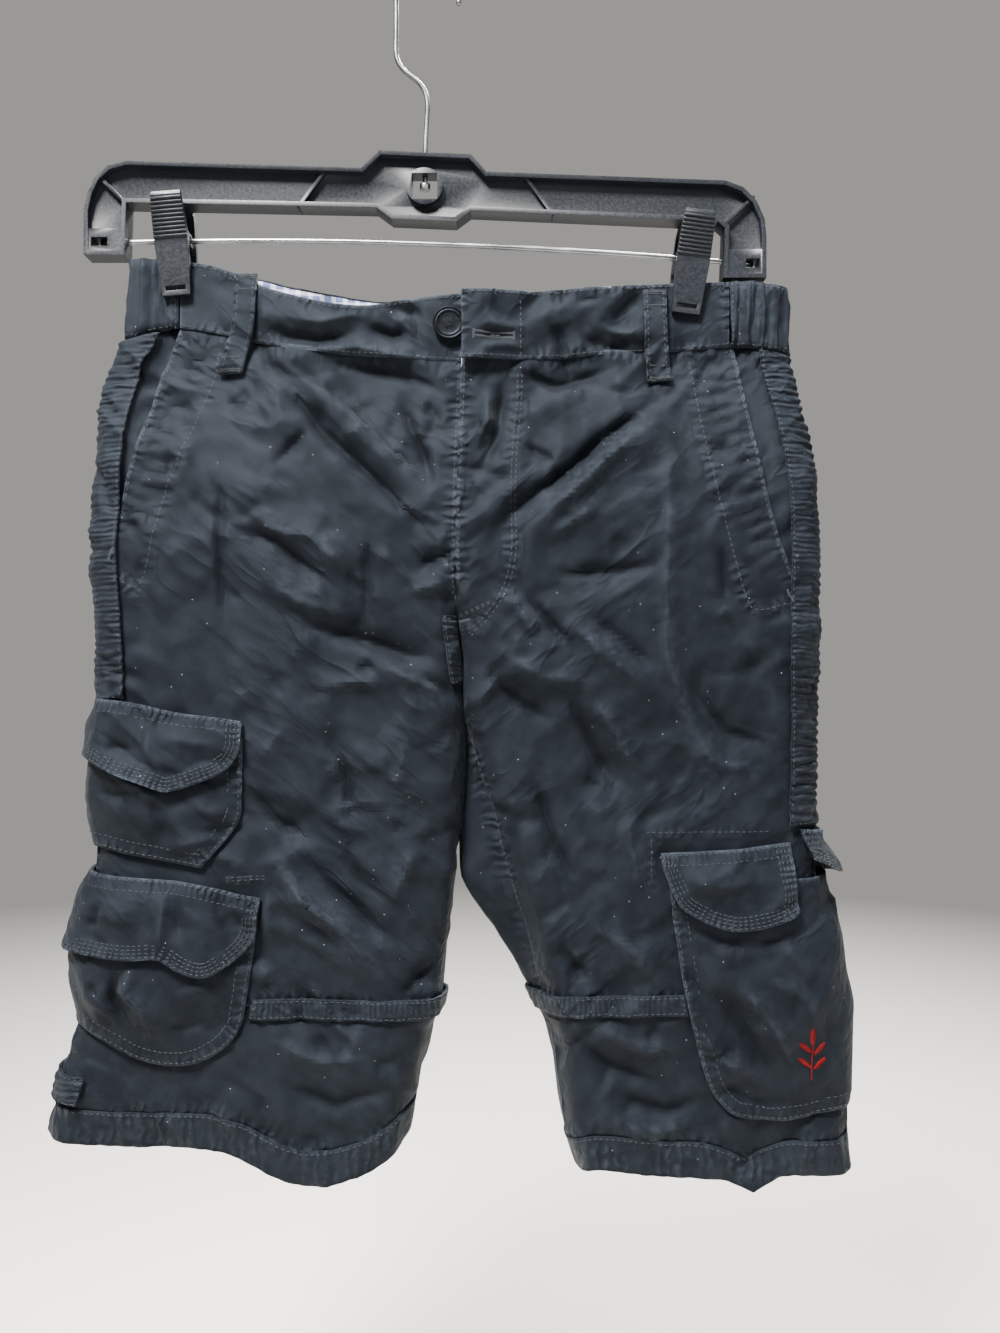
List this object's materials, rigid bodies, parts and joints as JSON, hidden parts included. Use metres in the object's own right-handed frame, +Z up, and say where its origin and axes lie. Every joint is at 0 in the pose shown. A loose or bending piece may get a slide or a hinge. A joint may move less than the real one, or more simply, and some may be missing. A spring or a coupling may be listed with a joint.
{
  "type": "cargo shorts on a clip hanger",
  "caption": "Knee-length cargo shorts with flap pockets on both legs, hanging by the waistband from a clip hanger with an open hook.",
  "frame": {"origin": "inside top of the hanger's hook, where a rail carries it", "axes": "+Z up, front of the shorts faces -Y, +X to the viewer's right when facing the front"},
  "size_m": [0.4195, 0.0702, 0.6359],
  "materials": {
    "washed_twill": "washed black cotton twill",
    "check_facing": "fine woven blue and white check",
    "hanger_plastic": "satin dark moulded plastic",
    "bright_steel": "bright drawn wire",
    "gunmetal": "dark plated button"
  },
  "bodies": {
    "root": {"back_panel_left": "washed_twill", "back_panel_right": "washed_twill", "belt_loop_centre_back": "washed_twill", "belt_loop_left_back": "washed_twill", "belt_loop_left_front": "washed_twill", "belt_loop_right_back": "washed_twill", "belt_loop_right_front": "washed_twill", "button": "gunmetal", "clip_back_jaw_left": "hanger_plastic", "clip_back_jaw_right": "hanger_plastic", "clip_front_jaw_left": "hanger_plastic", "clip_front_jaw_right": "hanger_plastic", "clip_spring_left": "bright_steel", "clip_spring_right": "bright_steel", "fly_shield": "washed_twill", "front_panel_left": "washed_twill", "front_panel_right": "washed_twill", "hanger_body": "hanger_plastic", "hanger_hook": "bright_steel", "hanger_rod": "bright_steel", "hem_left": "washed_twill", "hem_right": "washed_twill", "hip_pocket_facing_left": "washed_twill", "hip_pocket_facing_right": "washed_twill", "knee_seam_band_left": "washed_twill", "knee_seam_band_right": "washed_twill", "left_flap_front": "washed_twill", "left_flap_rear": "washed_twill", "left_pocket_body": "washed_twill", "lower_leg_back_left": "washed_twill", "lower_leg_back_right": "washed_twill", "lower_leg_front_left": "washed_twill", "lower_leg_front_right": "washed_twill", "right_lower_flap": "washed_twill", "right_lower_pocket_body": "washed_twill", "right_upper_flap": "washed_twill", "right_upper_pocket_body": "washed_twill", "rise_seam_band": "washed_twill", "seat_seam_band": "washed_twill", "side_seam_band_left": "washed_twill", "side_seam_band_lower": "washed_twill", "side_seam_band_right": "washed_twill", "waistband_back_left": "washed_twill", "waistband_back_right": "washed_twill", "waistband_facing_left": "check_facing", "waistband_facing_right": "check_facing", "waistband_front_left": "washed_twill", "waistband_front_right": "washed_twill", "waistband_side_left": "washed_twill", "waistband_side_right": "washed_twill"}
  },
  "joints": []
}
